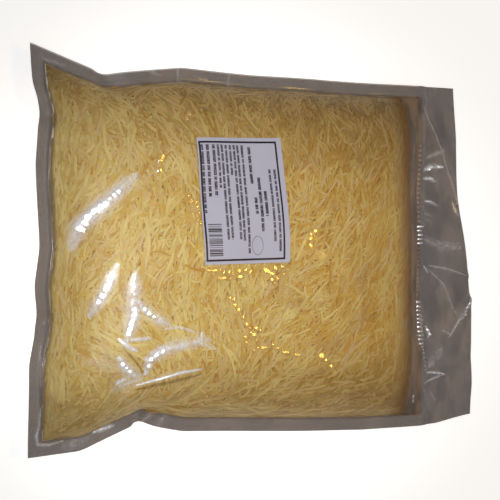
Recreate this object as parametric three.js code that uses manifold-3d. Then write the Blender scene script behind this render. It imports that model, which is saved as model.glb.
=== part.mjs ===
// A clear plastic pouch of grated cheese, lying on its back on a table.
//
// Two films are sealed together along three edges by the pouch's maker, and across the fourth
// by the packer, who left a loose flap outside that last seal. The filling draws the edges in
// and leaves the corners standing out as ears. Grated cheese presses against the film from
// inside, and the largest shreds stand out in it. A paper label is stuck on the front.
//
// Millimetres and degrees, +Z up. X runs along the pouch towards the flap, and Y across it.
// The origin is on the table, under the middle of the pouch's outline.
import * as THREE from "three";
import { mergeVertices } from "three/addons/utils/BufferGeometryUtils.js";
import Module from "manifold-3d";

// ---- Driving dimensions ----

const POUCH = { length: 406, width: 304 };
const END_SEAL = 10; // the maker's seal at the -X end
const SIDE_SEAL = 11; // the maker's seals along both sides
const PACKER_SEAL = { x: 134, bow: 3.5, width: 13 }; // its inner edge, bowed in by the filling
const SEAL_RIDGES = { height: 0.5, at: [0.25, 0.75], halfWidth: 0.1 }; // the crimp, across the packer's seal
const FILM_PAIR = 1; // thickness where the two films lie together
const SEAM_HEIGHT = 15; // of the sealed edges above the table
// The filling's rise above the sealed edges, with [power, root] of a superellipse on each side.
const DOME = { rise: 43, slump: 0.08, endward: [4.6, 0.5], flapward: [4, 0.9], across: [3, 0.55] };
const BASE = { power: 6, flatness: 1.35, foldFade: 4 }; // how square and flat the underside is
const FLAP_DROOP = 8; // of the flap's free edge below the seal
const RIPPLE = { height: 1.2, lengthX: 118, lengthY: 97 }; // of the sealed edges, up and down
const LUMPS = { height: 1, lengthX: 124, lengthY: 88 }; // of the filling under the film

// How far each edge is drawn in from the flat pouch's rectangle: [place along the edge, inset].
const INSET = {
  end: [
    [-152, 0], [-84, 0.5], [-51, 7], [-26, 4.5], [3, 8],
    [64, 5.5], [93, 7], [104, 9.5], [124, 3], [152, 1.5],
  ],
  flap: [[-152, 0.5], [-125, 0], [-98, 3], [-55, 0], [3, 9], [93, 19], [152, 21.5]],
  far: [[-203, 0], [-146, 18], [-85, 8.5], [-24, 9], [50, 7.5], [138, 5], [203, 1.5]],
  near: [
    [-203, 6], [-164, 7], [-118, 25], [-109, 21], [-85, 15],
    [-24, 9.5], [80, 1.5], [160, 0], [203, 4.5],
  ],
};
const INSET_ROUNDING = 4; // half the width over which an inset's corners are rounded

// Folds in the film: a ridge or, where rise is negative, a valley along a straight line.
// It is strongest at its start and has died out at its end.
const FOLDS = [
  { from: [-119, -130], to: [-66, -84], rise: -8, spread: 7 }, // from the notch in the near side
  { from: [-138, -102], to: [-66, -75], rise: 4, spread: 6 },
  { from: [-148, 136], to: [-108, 88], rise: -5, spread: 8 }, // from the notch in the far side
  { from: [-196, 103], to: [-150, 88], rise: -4, spread: 7 }, // from the notches in the end
  { from: [-197, -51], to: [-158, -40], rise: -3.5, spread: 7 },
  { from: [203, -42], to: [152, -86], rise: 2.2, spread: 4 }, // across the flap
  { from: [196, -22], to: [146, -9], rise: 1.8, spread: 4 },
  { from: [150, 126], to: [192, 18], rise: 1.6, spread: 4 },
];

const LABEL = { width: 71.5, height: 95, thickness: 0.4, turn: 4.2, at: [0.4225, 0.647], gap: 0.5 };

const SHREDS = {
  count: 101,
  length: [46, 24], // the first is the longest
  width: [3.4, 2.5],
  proud: 1.3, // how far a shred stands out
  sunk: 1.1, // and how far it reaches into the filling
  bend: 50, // the most that a shred turns along its length
  segments: 3,
  apart: 11, // between the middles of two shreds
  margin: 0.035, // of the filled part, kept clear along its edges
  seed: 41,
};

// Lines of the grid that each film is made of. 0 to 1 spans the filled part, and the seals and
// the flap lie outside it.
const GRID = { filledColumns: 26, filledRows: 20 };
const LABEL_GRID = { columns: 8, rows: 12 };

// ---- Small helpers ----

const lerp = (from, to, share) => from + (to - from) * share;
const clamp01 = (value) => Math.min(1, Math.max(0, value));
const ease = (value) => clamp01(value) ** 2 * (3 - 2 * clamp01(value));

// The value of a list of [place, value] knots, joined by straight lines.
function straight(knots, place) {
  const next = knots.findIndex(([at]) => at > place);
  if (next === 0) return knots[0][1];
  if (next < 0) return knots.at(-1)[1];
  const [[x0, y0], [x1, y1]] = [knots[next - 1], knots[next]];
  return lerp(y0, y1, (place - x0) / (x1 - x0));
}

// The same with its corners rounded.
function rounded(knots, place) {
  const sides = straight(knots, place - INSET_ROUNDING) + straight(knots, place + INSET_ROUNDING);
  return (sides + 2 * straight(knots, place)) / 4;
}

// A repeatable source of numbers from 0 to 1.
function randomFrom(seed) {
  let state = seed;
  return () => {
    state = (state * 1664525 + 1013904223) % 2 ** 32;
    return state / 2 ** 32;
  };
}

// ---- The pouch's shape ----
// A point of a film is named by (a, b). From 0 to 1 both cross the filled part. a runs on to 2
// over the packer's seal and to 3 over the flap, and both run to -1, and b to 2, over the
// maker's seals.

// The place at a along stations, of which the first is at a = -1.
function along(stations, a) {
  const from = Math.min(Math.floor(a + 1), stations.length - 2);
  return lerp(stations[from], stations[from + 1], a + 1 - from);
}

function plan(a, b) {
  const half = { x: POUCH.length / 2, y: POUCH.width / 2 };
  const level = along([-half.y, SIDE_SEAL - half.y, half.y - SIDE_SEAL, half.y], b);
  const end = -half.x + rounded(INSET.end, level);
  const seal = PACKER_SEAL.x + PACKER_SEAL.bow * (level / half.y) ** 2;
  const freeEdge = half.x - rounded(INSET.flap, level);
  const x = along([end, end + END_SEAL, seal, seal + PACKER_SEAL.width, freeEdge], a);
  const near = -half.y + rounded(INSET.near, x);
  const far = half.y - rounded(INSET.far, x);
  return [x, along([near, near + SIDE_SEAL, far - SIDE_SEAL, far], b)];
}

// 1 in the middle of the filled part, 0 at its edges and beyond.
function fullness(a, b, [powerX, rootX], [powerY, rootY]) {
  const [across, up] = [Math.abs(2 * a - 1), Math.abs(2 * b - 1)];
  if (across >= 1 || up >= 1) return 0;
  return (1 - across ** powerX) ** rootX * (1 - up ** powerY) ** rootY;
}

function foldHeight(x, y) {
  let height = 0;
  for (const { from, to, rise, spread } of FOLDS) {
    const [dx, dy] = [to[0] - from[0], to[1] - from[1]];
    const length = Math.hypot(dx, dy);
    const forth = ((x - from[0]) * dx + (y - from[1]) * dy) / length;
    const aside = ((x - from[0]) * dy - (y - from[1]) * dx) / length;
    const strength = ease((forth + spread) / spread) * (1 - ease(forth / length));
    height += rise * strength * Math.exp(-((aside / spread) ** 2));
  }
  return height;
}

// Where the two films meet, or would meet.
function seamHeight(a, x, y) {
  const turnX = (2 * Math.PI * x) / RIPPLE.lengthX;
  const turnY = (2 * Math.PI * y) / RIPPLE.lengthY;
  const ripple = RIPPLE.height * (Math.sin(turnX + 0.5) + Math.sin(turnY + 1.3));
  return SEAM_HEIGHT + ripple - FLAP_DROOP * ease((a - 1) / 2);
}

function crimp(a) {
  return SEAL_RIDGES.at.some((ridge) => Math.abs(a - 1 - ridge) < 0.01) ? SEAL_RIDGES.height : 0;
}

// A point on the front film.
function front(a, b) {
  const [x, y] = plan(a, b);
  const full = fullness(a, b, a < 0.5 ? DOME.endward : DOME.flapward, DOME.across);
  const dome = DOME.rise * full * (1 - DOME.slump * (2 * b - 1));
  const turn = { x: (2 * Math.PI * x) / LUMPS.lengthX, y: (2 * Math.PI * y) / LUMPS.lengthY };
  const lumps = Math.sin(turn.x) * Math.cos(turn.y + 0.8);
  const filling = dome + LUMPS.height * lumps * full;
  const height = seamHeight(a, x, y) + FILM_PAIR / 2 + filling + foldHeight(x, y) + crimp(a);
  return new THREE.Vector3(x, y, height);
}

// A point on the back film, which is flat where it lies on the table.
function back(a, b) {
  const [x, y] = plan(a, b);
  const base = Math.min(1, BASE.flatness * fullness(a, b, [BASE.power, 1], [BASE.power, 1]));
  const folds = foldHeight(x, y) * (1 - base) ** BASE.foldFade;
  return new THREE.Vector3(x, y, (seamHeight(a, x, y) - FILM_PAIR / 2 + folds) * (1 - base));
}

// Grid lines over the filled part, which crowd towards its edges.
function filledLines(count) {
  return Array.from({ length: count + 1 }, (_, i) => (1 + Math.sin(Math.PI * (i / count - 0.5))) / 2);
}

// A closed solid between two sheets, each given as a function of its column and row.
function solidBetween(upper, lower, columns, rows) {
  const points = [];
  for (const sheet of [upper, lower]) {
    for (const row of rows) for (const column of columns) points.push(...sheet(column, row).toArray());
  }
  const [wide, high] = [columns.length, rows.length];
  const at = (i, j, sheet) => sheet * wide * high + j * wide + i;
  const faces = [];
  const quad = (p, q, r, s) => faces.push(p, q, r, p, r, s);
  for (let j = 0; j + 1 < high; j++) {
    for (let i = 0; i + 1 < wide; i++) {
      quad(at(i, j, 0), at(i + 1, j, 0), at(i + 1, j + 1, 0), at(i, j + 1, 0));
      quad(at(i, j, 1), at(i, j + 1, 1), at(i + 1, j + 1, 1), at(i + 1, j, 1));
    }
  }
  for (let i = 0; i + 1 < wide; i++) {
    quad(at(i, 0, 1), at(i + 1, 0, 1), at(i + 1, 0, 0), at(i, 0, 0));
    quad(at(i + 1, high - 1, 1), at(i, high - 1, 1), at(i, high - 1, 0), at(i + 1, high - 1, 0));
  }
  for (let j = 0; j + 1 < high; j++) {
    quad(at(0, j + 1, 1), at(0, j, 1), at(0, j, 0), at(0, j + 1, 0));
    quad(at(wide - 1, j, 1), at(wide - 1, j + 1, 1), at(wide - 1, j + 1, 0), at(wide - 1, j, 0));
  }
  const geometry = new THREE.BufferGeometry();
  geometry.setAttribute("position", new THREE.Float32BufferAttribute(points, 3));
  geometry.setIndex(faces);
  return geometry;
}

function pouchBody() {
  const around = (ridge) => [-1, 0, 1].map((way) => 1 + ridge + way * SEAL_RIDGES.halfWidth);
  const ridges = SEAL_RIDGES.at.flatMap(around);
  const columns = [-1, -0.5, ...filledLines(GRID.filledColumns), ...ridges, 2, 2.25, 2.5, 2.75, 3];
  const rows = [-1, -0.5, ...filledLines(GRID.filledRows), 1.5, 2];
  return solidBetween(front, back, columns, rows);
}

// ---- Walking on the front film, for what lies on it ----

// The film's point at (a, b), its outward normal, and the two ways along it.
function frameAt(a, b) {
  const step = 1e-3;
  const point = front(a, b);
  const alongA = front(a + step, b).sub(front(a - step, b)).divideScalar(2 * step);
  const alongB = front(a, b + step).sub(front(a, b - step)).divideScalar(2 * step);
  const normal = alongA.clone().cross(alongB).normalize();
  return { point, normal, alongA, alongB };
}

// The direction on the film that is turned by heading, in radians, from the way that a grows.
function directionAt({ alongA, normal }, heading) {
  const forth = alongA.clone().normalize();
  const left = normal.clone().cross(forth);
  return forth.multiplyScalar(Math.cos(heading)).add(left.multiplyScalar(Math.sin(heading)));
}

// (a, b) after a distance over the film at that heading.
function walk([a, b], heading, distance, stride = 4) {
  const steps = Math.max(1, Math.ceil(Math.abs(distance) / stride));
  for (let i = 0; i < steps; i++) {
    const frame = frameAt(a, b);
    const move = directionAt(frame, heading).multiplyScalar(distance / steps);
    const [aa, ab, bb] = [
      frame.alongA.dot(frame.alongA),
      frame.alongA.dot(frame.alongB),
      frame.alongB.dot(frame.alongB),
    ];
    const [ma, mb] = [frame.alongA.dot(move), frame.alongB.dot(move)];
    const area = aa * bb - ab * ab;
    a += (ma * bb - mb * ab) / area;
    b += (mb * aa - ma * ab) / area;
  }
  return [a, b];
}

// ---- The label ----

// The film's place under the label at (u, v), both from -0.5 to 0.5.
function underLabel(u, v) {
  const turn = THREE.MathUtils.degToRad(LABEL.turn);
  const column = walk(LABEL.at, turn + Math.PI / 2, v * LABEL.height);
  return walk(column, turn, u * LABEL.width);
}

function labelSheet() {
  const spread = (count) => Array.from({ length: count + 1 }, (_, i) => i / count - 0.5);
  const over = (distance) => (u, v) => {
    const { point, normal } = frameAt(...underLabel(u, v));
    return point.addScaledVector(normal, distance);
  };
  const [columns, rows] = [spread(LABEL_GRID.columns), spread(LABEL_GRID.rows)];
  return solidBetween(over(LABEL.gap + LABEL.thickness), over(LABEL.gap), columns, rows);
}

// ---- The shreds that stand out ----

// One shred: a strip with four sides, half sunk in the filling, that follows the film.
function shred(middle, heading, bend, length, width) {
  const { segments, proud, sunk } = SHREDS;
  const ways = [];
  for (let i = 0; i <= segments; i++) {
    const share = i / segments - 0.5;
    const turned = heading + bend * share;
    const place = walk(middle, turned, share * length);
    const { normal, point, ...rest } = frameAt(...place);
    const side = normal.clone().cross(directionAt({ normal, ...rest }, turned + bend * share));
    const half = (width / 2) * (i === 0 || i === segments ? 0.75 : 1);
    ways.push({ point, normal, side, half });
  }
  const corner = ({ point, normal, side, half }, left, up) =>
    point.clone().addScaledVector(side, left * half).addScaledVector(normal, up > 0 ? proud : -sunk);
  const sheet = (up) => (station, left) => corner(ways[station], left, up);
  return solidBetween(sheet(1), sheet(-1), ways.map((_, i) => i), [-1, 1]);
}

function scatteredShreds() {
  const random = randomFrom(SHREDS.seed);
  const kept = [];
  const labelMiddle = front(...LABEL.at);
  const turn = THREE.MathUtils.degToRad(LABEL.turn);
  const underTheLabel = (point, reach) => {
    const offset = point.clone().sub(labelMiddle).setZ(0).applyAxisAngle(new THREE.Vector3(0, 0, 1), -turn);
    return Math.abs(offset.x) < LABEL.width / 2 + reach && Math.abs(offset.y) < LABEL.height / 2 + reach;
  };
  const inside = ([a, b]) => [a, b].every((v) => v > SHREDS.margin && v < 1 - SHREDS.margin);
  for (let tries = 0; kept.length < SHREDS.count && tries < 40 * SHREDS.count; tries++) {
    const share = kept.length / SHREDS.count;
    const middle = [random(), random()];
    const heading = Math.PI * random();
    const bend = THREE.MathUtils.degToRad(SHREDS.bend) * (2 * random() - 1);
    const length = lerp(...SHREDS.length, share);
    const width = lerp(...SHREDS.width, random());
    if (!inside(middle)) continue;
    const point = front(...middle);
    const ends = [-1, 1].map((way) => walk(middle, heading + (bend * way) / 2, (way * length) / 2));
    if (!ends.every(inside)) continue;
    if ([point, ...ends.map((end) => front(...end))].some((p) => underTheLabel(p, width))) continue;
    if (kept.some((other) => other.point.distanceTo(point) < SHREDS.apart)) continue;
    kept.push({ point, geometry: shred(middle, heading, bend, length, width) });
  }
  return kept.map(({ geometry }) => geometry);
}

// ---- Joining ----

const wasm = await Module();
wasm.setup();

function toSolid(geometry) {
  const merged = mergeVertices(geometry);
  const vertProperties = new Float32Array(merged.attributes.position.array);
  const triVerts = new Uint32Array(merged.index.array);
  return new wasm.Manifold(new wasm.Mesh({ numProp: 3, vertProperties, triVerts }));
}

function toGeometry(solid) {
  const { vertProperties, triVerts } = solid.getMesh();
  const geometry = new THREE.BufferGeometry();
  geometry.setAttribute("position", new THREE.BufferAttribute(vertProperties, 3));
  geometry.setIndex(new THREE.BufferAttribute(triVerts, 1));
  return geometry;
}

function joined(geometries) {
  return toGeometry(geometries.map(toSolid).reduce((all, next) => all.add(next)));
}

function named(name, geometry, material) {
  const mesh = new THREE.Mesh(geometry, material);
  mesh.name = name;
  return mesh;
}

const CHEESE_UNDER_FILM = new THREE.MeshStandardMaterial({ color: 0xd9b45a, roughness: 0.35, metalness: 0 });
const PAPER = new THREE.MeshStandardMaterial({ color: 0xd6d4de, roughness: 0.6, metalness: 0 });

const pouch = new THREE.Group();
pouch.add(named("bag", joined([pouchBody(), ...scatteredShreds()]), CHEESE_UNDER_FILM));
pouch.add(named("label", labelSheet(), PAPER));

export default pouch;
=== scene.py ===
"""A clear plastic pouch of grated cheese, lying on its back on a pale table.

Two films are sealed together along three edges by the pouch's maker. The packer's crimped seal
closes the fourth, with a loose flap outside it. A heap of shreds fills the pouch, and a paper
label is stuck on the front film.

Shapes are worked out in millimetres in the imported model's frame, with X along the pouch towards
the flap, Y across it and Z up. They become metres as their meshes are made.
"""
import math

import bmesh
import bpy
import numpy as np
from mathutils import Matrix, Vector


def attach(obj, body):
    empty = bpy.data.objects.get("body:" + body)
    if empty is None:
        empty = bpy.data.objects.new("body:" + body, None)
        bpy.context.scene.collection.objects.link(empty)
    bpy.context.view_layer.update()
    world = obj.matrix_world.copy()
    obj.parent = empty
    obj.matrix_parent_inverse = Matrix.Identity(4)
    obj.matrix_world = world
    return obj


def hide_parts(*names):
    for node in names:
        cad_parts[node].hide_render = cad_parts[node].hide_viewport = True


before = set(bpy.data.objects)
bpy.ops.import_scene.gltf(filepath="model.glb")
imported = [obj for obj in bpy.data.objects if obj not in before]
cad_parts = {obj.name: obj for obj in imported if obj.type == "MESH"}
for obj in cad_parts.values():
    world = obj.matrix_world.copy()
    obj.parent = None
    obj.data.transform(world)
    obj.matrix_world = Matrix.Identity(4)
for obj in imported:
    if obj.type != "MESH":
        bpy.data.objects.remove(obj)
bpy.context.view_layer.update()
MM = 0.001

# ---- The pouch's sizes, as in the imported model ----

POUCH_LENGTH = 406
POUCH_WIDTH = 304
END_SEAL = 10
SIDE_SEAL = 11
PACKER_SEAL = {"x": 134, "bow": 3.5, "width": 13}
FILM_PAIR = 1
SEAM_HEIGHT = 15
DOME = {"rise": 43, "slump": 0.08, "endward": (4.6, 0.5), "flapward": (4, 0.9), "across": (3, 0.55)}
BASE = {"power": 6, "flatness": 1.35, "fold_fade": 4}
FLAP_DROOP = 8
RIPPLE = {"height": 1.2, "length_x": 118, "length_y": 97}
LUMPS = {"height": 1, "length_x": 124, "length_y": 88}
INSET = {
    "end": [
        (-152, 0), (-84, 0.5), (-51, 7), (-26, 4.5), (3, 8),
        (64, 5.5), (93, 7), (104, 9.5), (124, 3), (152, 1.5),
    ],
    "flap": [(-152, 0.5), (-125, 0), (-98, 3), (-55, 0), (3, 9), (93, 19), (152, 21.5)],
    "far": [(-203, 0), (-146, 18), (-85, 8.5), (-24, 9), (50, 7.5), (138, 5), (203, 1.5)],
    "near": [
        (-203, 6), (-164, 7), (-118, 25), (-109, 21), (-85, 15),
        (-24, 9.5), (80, 1.5), (160, 0), (203, 4.5),
    ],
}
INSET_ROUNDING = 4

# Each fold is (from, to, rise, spread). It is strongest at its start and dies out at its end.
FOLDS = [
    ((-119, -130), (-66, -84), -8, 7),
    ((-138, -102), (-66, -75), 4, 6),
    ((-148, 136), (-108, 88), -5, 8),
    ((-196, 103), (-150, 88), -4, 7),
    ((-197, -51), (-158, -40), -3.5, 7),
    ((203, -42), (152, -86), 2.2, 4),
    ((196, -22), (146, -9), 1.8, 4),
    ((150, 126), (192, 18), 1.6, 4),
]

LABEL = {"width": 71.5, "height": 95, "turn": 4.2, "at": (0.4225, 0.647), "gap": 0.5, "thickness": 0.15}

# ---- The camera and the lamps ----
# The camera and its flash stand on the -X side, the flash in line with the lens and a little
# behind it. A warm lamp hangs beyond the flap.

CAMERA_TARGET = np.array((-24.3, 2.8, 10))
CAMERA_ELEVATION = math.radians(64.2)
CAMERA_DISTANCE = 726
FLASH_DISTANCE = 850
TOWARDS_CAMERA = np.array((-math.cos(CAMERA_ELEVATION), 0, math.sin(CAMERA_ELEVATION)))
EYE = CAMERA_TARGET + CAMERA_DISTANCE * TOWARDS_CAMERA
SENSOR = 36
LENS = 64.9
LAMPS = {
    "flash": {
        "place": CAMERA_TARGET + FLASH_DISTANCE * TOWARDS_CAMERA, "aim": np.array((-47, -17, 30)),
        "radius": 40, "cone": 35, "watts": 16, "colour": (1, 0.98, 1),
    },
    "room": {
        "place": np.array((750, 100, 1500)), "aim": np.array((0, 0, 30)),
        "radius": 85, "cone": 60, "watts": 10, "colour": (1, 0.61, 0.1),
    },
}

# ---- Creases and crumples in the film ----

# Bent lines on the plan, slimmer at their ends: (points, height, spread, how pale the line is). A
# line's paleness is a painted highlight along it, partly also real whitening of the creased film; a
# line with a paleness below 0 is dark, painted shade in a fold.
CREASES = [
    # a streak and its neighbour on the heap's shoulder
    ([(-175, 12), (-172, 20), (-165, 28), (-157, 35), (-143, 48)], 0.3, 3.6, 0.95),
    ([(-177, 4), (-172, 20), (-157, 35), (-134, 56)], 0, 7, 0.3),
    ([(-162, -36), (-159, -32), (-155, -24), (-151, -14)], 0.3, 2.6, 0.85),
    ([(-166, -44), (-160, -34), (-155, -24), (-148, -8)], 0, 5, 0.28),
    # the crumples near the pouch's corner
    ([(-136, -16), (-137, -30), (-135, -42), (-139, -53), (-141, -61)], 0.5, 3.2, 0.75),
    ([(-134, -33), (-126, -43), (-112, -50)], 0.5, 2.6, 0.75),
    ([(-147, -60), (-140, -66), (-134, -69)], 0.5, 1.3, 0.9),
    ([(-138, -61), (-124, -60)], 0.4, 1.4, 0.6),
    ([(-127, -86), (-125, -76), (-118, -70), (-109, -67)], 0.5, 3.2, 0.95),
    ([(-114, -69), (-99, -66), (-84, -63)], 0.4, 2.4, 0.6),
    ([(-86, -57), (-86, -66)], 0.4, 1.2, 0.9),
    ([(-89, -64), (-75, -70)], 0.2, 1.6, 0.4),
    ([(-147, -73), (-141, -82), (-134, -87)], 0.4, 2.4, 0.85),
    ([(-147, -92), (-141, -89)], 0.4, 1.6, 0.9),
    ([(-146, -95), (-136, -91), (-130, -90)], 0.3, 1, 0.4),
    ([(-116, -54), (-102, -53), (-89, -58)], 0.3, 0.9, 0.5),
    ([(-144, -66), (-131, -81), (-127, -88)], 0.5, 0.7, -0.4),
    ([(-133, -94), (-116, -90), (-102, -86), (-85, -84)], 0.9, 1, 0.8),
    ([(-134, -97), (-110, -93), (-85, -88)], 0, 1.8, -0.25),
    ([(-136, -14), (-137, -30), (-137, -46), (-141, -62)], 0, 7, 0.26),
    ([(-134, -33), (-124, -44), (-110, -52)], 0, 6, 0.2),
    ([(-127, -86), (-124, -75), (-109, -67), (-80, -63)], 0, 6, 0.24),
    ([(-147, -73), (-141, -82), (-130, -90)], 0, 6, 0.24),
    ([(-165, -76), (-140, -80)], 0, 11, 0.12),
    ([(-150, -97), (-128, -84)], 0, 8, 0.14),
    # the seams at the pouch's end and sides
    ([(-194, -110), (-195, -124), (-197, -131), (-196, -137), (-188, -138), (-177, -136)], 0.6, 0.8, 0.7),
    ([(-194, -66), (-194, -96)], 0.2, 0.7, 0.35),
    ([(-155, -132), (-139, -128)], 0.8, 1.6, 0.9),
    ([(-178, -141), (-158, -136)], 0.3, 3.2, 0.35),
    ([(-193, 141), (-176, 137)], 0.4, 1.3, 0.3),
    ([(-113, 139), (-103, 136)], 0.4, 0.8, 0.35),
    ([(-88, 150), (-89, 127)], 0.5, 0.9, 0.3),
    ([(-43, 150), (-47, 127)], 0.5, 0.9, 0.25),
    # the flap
    ([(144, 128), (163, 94), (172, 79), (183, 60), (192, 36)], 0.7, 1.1, 0.4),
    ([(146, 84), (169, 92)], 0.6, 1.7, 0.4),
    ([(144, 73), (151, 76.5), (158, 77.5), (168, 77)], 1, 2.1, 0.95),
    ([(144, 66), (152, 66.5), (160, 64)], 0.9, 1.6, 0.9),
    ([(147, 46.5), (155, 45), (163, 43)], 0.8, 1.4, 0.7),
    ([(147, 35), (158, 33)], 0.3, 1.6, 0.25),
    ([(146, 30), (156, 28)], 0.3, 1.2, 0.2),
    ([(145, 12), (164, 7), (188, 5)], 0.6, 3.6, 0.36),
    ([(146, 15), (163, 10.5), (188, 8.5)], 0.3, 0.6, 0.25),
    ([(150, -11), (172, -14), (194, -20)], 0.7, 0.8, 0.6),
    ([(143, -11), (150, -17.5)], 0.5, 0.9, 0.9),
    ([(147, -12), (169, -28), (184, -55)], 0.5, 0.9, 0.35),
    ([(205, -36), (193, -54), (184, -65), (175, -75)], 0.9, 1.3, 0.8),
    ([(177, -74), (167, -69)], 0.6, 0.8, 0.5),
    ([(147, -64), (149, -68), (151, -72), (149, -75)], 0.8, 1, 0.95),
    ([(169, -108.5), (157, -106), (147, -105.5)], 0.9, 1, 1),
    ([(168, -108.5), (157, -111), (144, -115)], 0.7, 0.8, 0.85),
    ([(150, -101), (165, -86)], 0.5, 4, 0.35),
    ([(154, -88), (153, -102)], 0.3, 1.1, 0.3),
    ([(153, -123), (160, -132)], 0.4, 0.8, 0.3),
    ([(143, -119), (150, -130)], 0.4, 0.7, 0.25),
    ([(182, 46), (189, 33)], 0.6, 1.8, 0.5),
    ([(180, -30), (200, -48)], 0, 7, -0.3),
    ([(150, 118), (175, 104)], 0, 9, -0.22),
    ([(153, -62), (163, -38)], 0, 7, -0.16),
]

# Rows of bars that the packer's jaws press into the seal: (points, pitch, half size in X, half size
# in Y, how pale they are). Their paleness is a painted highlight on the bars.
CRIMPS = [
    ([(138, 96), (137, 26)], 4.2, 1.5, 1.1, 0.45),
    ([(136.6, 25), (136.2, 7)], 3.5, 2.6, 1, 1),
    ([(136.2, 6), (136, -38)], 3.7, 1.2, 0.8, 0.3),
    ([(136, -41), (136, -81)], 3.6, 2.5, 1.1, 0.9),
    ([(141, -54), (141, -84)], 3.3, 1.5, 0.9, 0.7),
    ([(142, -86), (146, -105)], 3.6, 1.3, 1, 0.7),
    ([(131.5, -36), (132, -70)], 3.1, 0.9, 0.7, 0.5),
    ([(129, -20), (130, -36)], 4, 0.8, 0.8, 0.35),
    ([(126, -122), (128, -130)], 4, 1.5, 1.5, 0.9),
]

# Rows of small facets, each turned to face halfway between the camera and a lamp, as a crumple
# that shines does: (lamp, points of the row, pitch, half length, half width).
FACETS = [
    ("flash", [(-173, 16), (-165, 28), (-157, 35)], 4.4, 2.9, 3.1),
    ("flash", [(-157, 35), (-145, 46)], 4, 2.4, 1.9),
    ("flash", [(-161, -35), (-155, -24), (-151, -15)], 4.4, 2.8, 1.8),
    ("flash", [(-136, -38), (-138, -48), (-140, -58)], 3.8, 2.5, 2.3),
    ("flash", [(-131, -38), (-120, -46)], 4, 2.4, 1.9),
    ("flash", [(-126, -82), (-122, -73), (-113, -69)], 4, 2.6, 2.3),
    ("flash", [(-145, -77), (-137, -85)], 4, 2.2, 1.8),
    ("flash", [(146, 73.5), (154, 76.5), (166, 77)], 4, 2.6, 1.9),
    ("flash", [(146, 66), (154, 66)], 4, 2.4, 1.5),
    ("flash", [(149, 46), (156, 45)], 4, 2.2, 1.3),
    ("flash", [(148, -66), (151, -73)], 3.5, 2, 1.3),
    ("flash", [(166, -108), (149, -106)], 4, 2.4, 1.2),
    ("flash", [(199, -45), (188, -60)], 4, 2.4, 1.2),
    ("flash", [(136.6, 25), (136.2, 7)], 3.5, 1, 2.4),
    ("flash", [(136, -41), (136, -81)], 3.6, 1.1, 2.3),
    ("flash", [(141, -52), (143, -96)], 4.5, 0.8, 1),
    ("room", [(-114, 72), (-118, 60)], 3.8, 2.4, 2.2),
    ("room", [(-96, 43), (-93, 34), (-90, 26), (-88, 20)], 3.4, 2.4, 2.1),
    ("room", [(-92, 39), (-88, 29)], 4, 2.3, 2),
    ("room", [(-84, -11), (-73, -12.5), (-64, -14), (-56, -13), (-46, -13)], 3.5, 2.3, 2.1),
    ("room", [(-76, -16), (-66, -18.5), (-54, -17)], 3.8, 2.5, 2.2),
    ("room", [(-36, -10), (-30, -14), (-24, -19), (-18, -16)], 3.6, 2.4, 2.2),
    ("room", [(-28, -10.5), (-19, -11)], 3.8, 2.4, 2.2),
    ("room", [(-31, -19), (-23, -23)], 3.8, 2.4, 2.2),
    ("room", [(-64, -31), (-58, -40), (-53, -49)], 3.6, 2.4, 1.7),
    ("room", [(-51, -52), (-45, -60), (-39, -66)], 3.6, 2.4, 2.1),
    ("room", [(-53, -61), (-48, -67)], 4, 2.2, 2),
    ("room", [(-43, -55), (-38, -60)], 4, 2.2, 2),
    ("room", [(-44, -73), (-30, -69), (-18, -75), (-4, -79)], 3.2, 2.4, 1.8),
    ("room", [(13, -77), (19, -85)], 3.6, 2.5, 2.3),
    ("room", [(24, -86), (29, -95)], 3.6, 2.5, 2.3),
    ("room", [(7, 21), (4, 14), (0, 6)], 3.8, 2.3, 1.8),
    ("room", [(-91, 103), (-95, 99)], 3.6, 2, 1.8),
    ("room", [(-74, 138), (-63, 137)], 4, 2, 1.2),
]

# Places where the film clings to what it covers and hardly shines: (x, y, radius).
QUIET = [
    (-146, 10, 38), (-150, -45, 28), (-128, -88, 18), (-133, 131, 20), (-110, 137, 24), (-112, -120, 24),
    (160, 100, 20),
]

# ---- Small helpers ----


def lerp(low, high, share):
    return low + (high - low) * share


def ease(value):
    value = np.clip(value, 0, 1)
    return value**2 * (3 - 2 * value)


def between(value, low, high):
    """0 up to low, 1 from high on, and smooth between them."""
    return ease((value - low) / (high - low))


def within(value, rise, fall):
    """0, up to 1 over the stretch rise, and back to 0 over the stretch fall."""
    return between(value, *rise) * (1 - between(value, *fall))


def rounded(knots, place):
    """The value of a list of (place, value) knots, with its corners rounded."""
    places, values = zip(*knots)
    near, far = (np.interp(place + way * INSET_ROUNDING, places, values) for way in (-1, 1))
    return (near + far + 2 * np.interp(place, places, values)) / 4


class Hills:
    """Smooth random hills over a plane, from -1 to 1."""

    SIDE = 128

    def __init__(self, seed):
        self.heights = np.random.default_rng(seed).uniform(-1, 1, (self.SIDE, self.SIDE))

    def __call__(self, x, y, size):
        u, v = np.broadcast_arrays(x / size, y / size)
        i, j = np.floor(u).astype(int), np.floor(v).astype(int)
        across, up = ease(u - i), ease(v - j)
        corner = lambda di, dj: self.heights[(i + di) % self.SIDE, (j + dj) % self.SIDE]
        low = lerp(corner(0, 0), corner(1, 0), across)
        return lerp(low, lerp(corner(0, 1), corner(1, 1), across), up)


# ---- The pouch's shape ----
# A point of a film is named by (a, b). From 0 to 1 both cross the filled part. a runs on to 2
# over the packer's seal and to 3 over the flap, and both run to -1, and b to 2, over the maker's
# seals. side is 1 on the front film and -1 on the back one.


def along(stations, a):
    """The place at a along stations, of which the first is at a = -1."""
    *stations, a = np.broadcast_arrays(*stations, a)
    stations = np.stack(stations)
    start = np.clip(np.floor(a + 1).astype(int), 0, len(stations) - 2)[None]
    low, high = (np.take_along_axis(stations, start + step, 0)[0] for step in (0, 1))
    return lerp(low, high, a + 1 - start[0])


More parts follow.
